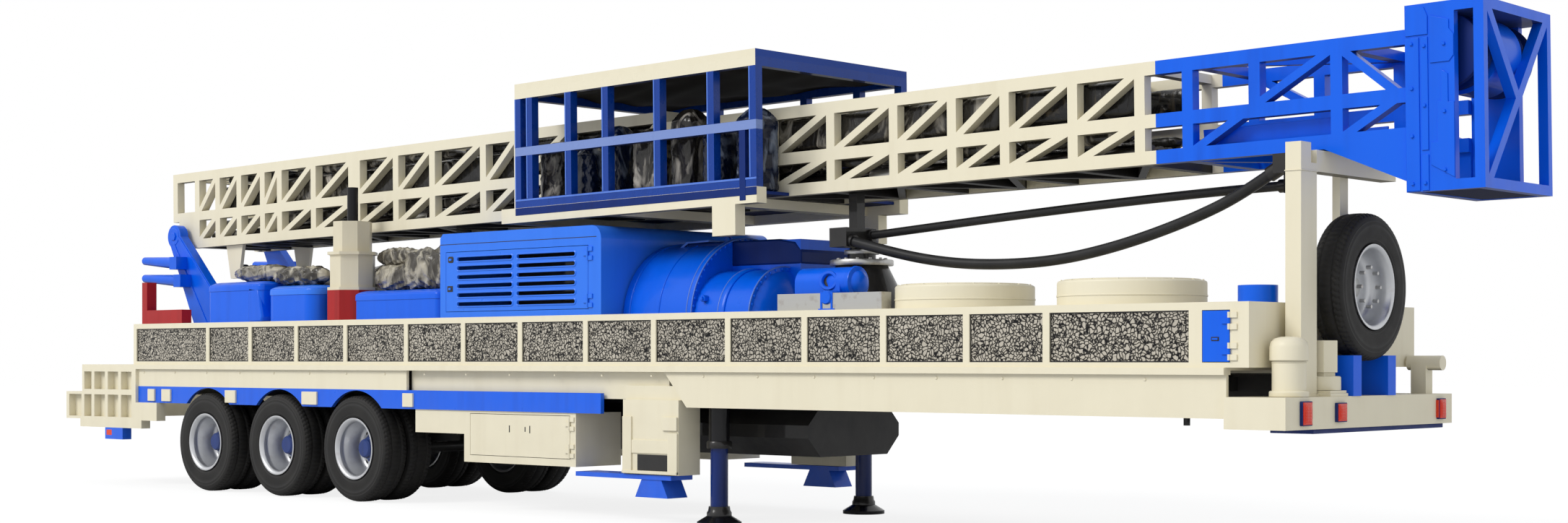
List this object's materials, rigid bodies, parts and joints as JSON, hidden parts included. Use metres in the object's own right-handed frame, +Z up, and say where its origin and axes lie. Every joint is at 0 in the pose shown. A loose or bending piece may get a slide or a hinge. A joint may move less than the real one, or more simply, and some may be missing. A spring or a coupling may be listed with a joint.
{
  "type": "trailer-mounted water well drilling rig",
  "caption": "Semi-trailer water well drilling rig on landing legs, its lattice mast laid down over the deck, with raising mast, feed head, opening doors and jack legs.",
  "frame": {"origin": "middle of the overall length and width, on the ground", "axes": "+X to the front (mast crown), +Y to the far side, +Z up"},
  "size_m": [16.82, 2.5, 3.9985],
  "materials": {
    "cream_paint": "semi-gloss cream paint",
    "blue_paint": "gloss royal blue paint",
    "light_blue_paint": "gloss mid blue paint",
    "red_paint": "dark red paint",
    "black_paint": "satin black paint",
    "dark_paint": "satin dark grey paint",
    "mesh_panel": "embossed grey and black panel",
    "lamp_red": "red lamp lens",
    "iron": "cast iron",
    "bare_steel": "bare steel",
    "rod_chrome": "hard chrome",
    "rim_steel": "silver paint",
    "tyre_rubber": "tyre rubber",
    "hose_rubber": "black hose rubber",
    "wrapping_film": "black and grey wrapping film round light tools"
  },
  "bodies": {
    "trailer": {"axles": "dark_paint", "body_frame": "cream_paint", "cabinets": "cream_paint", "chassis_frame": "dark_paint", "compressor": "blue_paint", "cooler_drums": "cream_paint", "deck_covers": "blue_paint", "engine_block": "iron", "engine_canopy": "light_blue_paint", "front_bumper": "cream_paint", "front_fittings": "cream_paint", "jack_housings": "cream_paint", "landing_legs": "black_paint", "lock_columns": "cream_paint", "marker_lamps": "lamp_red", "mast_rest": "cream_paint", "mud_pump": "black_paint", "pivot_tower": "blue_paint", "platform": "cream_paint", "red_posts": "red_paint", "side_panels": "mesh_panel", "spare_rim": "rim_steel", "spare_tyre": "tyre_rubber", "steel_beam": "bare_steel", "tail_frame": "cream_paint", "underslung_tank": "dark_paint", "wheel_arch_rail": "blue_paint"},
    "access_door_near": {"access_door_near": "blue_paint"},
    "access_door_far": {"access_door_far": "blue_paint"},
    "cabinet_door_near": {"cabinet_door_near": "cream_paint"},
    "cabinet_door_far": {"cabinet_door_far": "cream_paint"},
    "canopy_door_near": {"canopy_door_near": "light_blue_paint"},
    "canopy_door_far": {"canopy_door_far": "light_blue_paint"},
    "jack_leg_near": {"jack_leg_near": "blue_paint"},
    "jack_leg_far": {"jack_leg_far": "blue_paint"},
    "mast": {"mast_frame": "cream_paint", "mast_head": "blue_paint", "crown": "blue_paint", "cage_floor_roof": "cream_paint", "cage": "blue_paint", "stowed_tools": "wrapping_film", "drill_pipes": "bare_steel", "hose_fittings": "black_paint", "main_hose": "hose_rubber", "second_hose": "hose_rubber"},
    "rotary_head": {"rotary_head": "iron"},
    "hoist_barrels": {"hoist_barrels": "black_paint"},
    "hoist_rods": {"hoist_rods": "rod_chrome"},
    "wheel_1_near": {"tyre_1_near": "tyre_rubber", "rim_1_near": "rim_steel"},
    "wheel_2_near": {"tyre_2_near": "tyre_rubber", "rim_2_near": "rim_steel"},
    "wheel_3_near": {"tyre_3_near": "tyre_rubber", "rim_3_near": "rim_steel"},
    "wheel_1_far": {"tyre_1_far": "tyre_rubber", "rim_1_far": "rim_steel"},
    "wheel_2_far": {"tyre_2_far": "tyre_rubber", "rim_2_far": "rim_steel"},
    "wheel_3_far": {"tyre_3_far": "tyre_rubber", "rim_3_far": "rim_steel"}
  },
  "joints": [
    {"name": "wheel_1_near_spin", "type": "hinge", "parent": "trailer", "child": "wheel_1_near", "pos_m": [-5.54, 0, 0.525], "axis": [0, 1, 0], "continuous": true},
    {"name": "wheel_1_far_spin", "type": "hinge", "parent": "trailer", "child": "wheel_1_far", "pos_m": [-5.54, 0, 0.525], "axis": [0, 1, 0], "continuous": true},
    {"name": "wheel_2_near_spin", "type": "hinge", "parent": "trailer", "child": "wheel_2_near", "pos_m": [-4.23, 0, 0.525], "axis": [0, 1, 0], "continuous": true},
    {"name": "wheel_2_far_spin", "type": "hinge", "parent": "trailer", "child": "wheel_2_far", "pos_m": [-4.23, 0, 0.525], "axis": [0, 1, 0], "continuous": true},
    {"name": "wheel_3_near_spin", "type": "hinge", "parent": "trailer", "child": "wheel_3_near", "pos_m": [-2.92, 0, 0.525], "axis": [0, 1, 0], "continuous": true},
    {"name": "wheel_3_far_spin", "type": "hinge", "parent": "trailer", "child": "wheel_3_far", "pos_m": [-2.92, 0, 0.525], "axis": [0, 1, 0], "continuous": true},
    {"name": "access_door_near_swing", "type": "hinge", "parent": "trailer", "child": "access_door_near", "pos_m": [6.9025, -1.237, 0], "axis": [0, 0, 1], "range_deg": [0, 100]},
    {"name": "access_door_far_swing", "type": "hinge", "parent": "trailer", "child": "access_door_far", "pos_m": [6.9025, 1.237, 0], "axis": [0, 0, -1], "range_deg": [0, 100]},
    {"name": "cabinet_door_near_swing", "type": "hinge", "parent": "trailer", "child": "cabinet_door_near", "pos_m": [0.2025, -1.212, 0], "axis": [0, 0, 1], "range_deg": [0, 100]},
    {"name": "cabinet_door_far_swing", "type": "hinge", "parent": "trailer", "child": "cabinet_door_far", "pos_m": [0.2025, 1.212, 0], "axis": [0, 0, -1], "range_deg": [0, 100]},
    {"name": "canopy_door_near_swing", "type": "hinge", "parent": "trailer", "child": "canopy_door_near", "pos_m": [0.3325, -1.112, 0], "axis": [0, 0, 1], "range_deg": [0, 110]},
    {"name": "canopy_door_far_swing", "type": "hinge", "parent": "trailer", "child": "canopy_door_far", "pos_m": [0.3325, 1.112, 0], "axis": [0, 0, -1], "range_deg": [0, 110]},
    {"name": "jack_leg_near_drop", "type": "slide", "parent": "trailer", "child": "jack_leg_near", "axis": [0, 0, -1], "range_m": [0, 0.215]},
    {"name": "jack_leg_far_drop", "type": "slide", "parent": "trailer", "child": "jack_leg_far", "axis": [0, 0, -1], "range_m": [0, 0.215]},
    {"name": "mast_raise", "type": "hinge", "parent": "trailer", "child": "mast", "pos_m": [-7.07, 0, 2.8], "axis": [0, -1, 0], "range_deg": [0, 90]},
    {"name": "head_feed", "type": "slide", "parent": "mast", "child": "rotary_head", "axis": [0.9999, 0, 0.0137], "range_m": [-6.2, 6.2]},
    {"name": "hoist_tilt", "type": "hinge", "parent": "trailer", "child": "hoist_barrels", "pos_m": [-2.99, 0, 2.02], "axis": [0, 1, 0], "range_deg": [0, 18.57]},
    {"name": "hoist_extend", "type": "slide", "parent": "hoist_barrels", "child": "hoist_rods", "axis": [-0.9933, 0, 0.1159], "range_m": [0, 0.8539]}
  ],
  "couplings": [
    {"joint": "hoist_tilt", "follows": "mast_raise", "ratio": 0.20076},
    {"joint": "hoist_extend", "follows": "mast_raise", "m_per_rad": 0.54043}
  ]
}
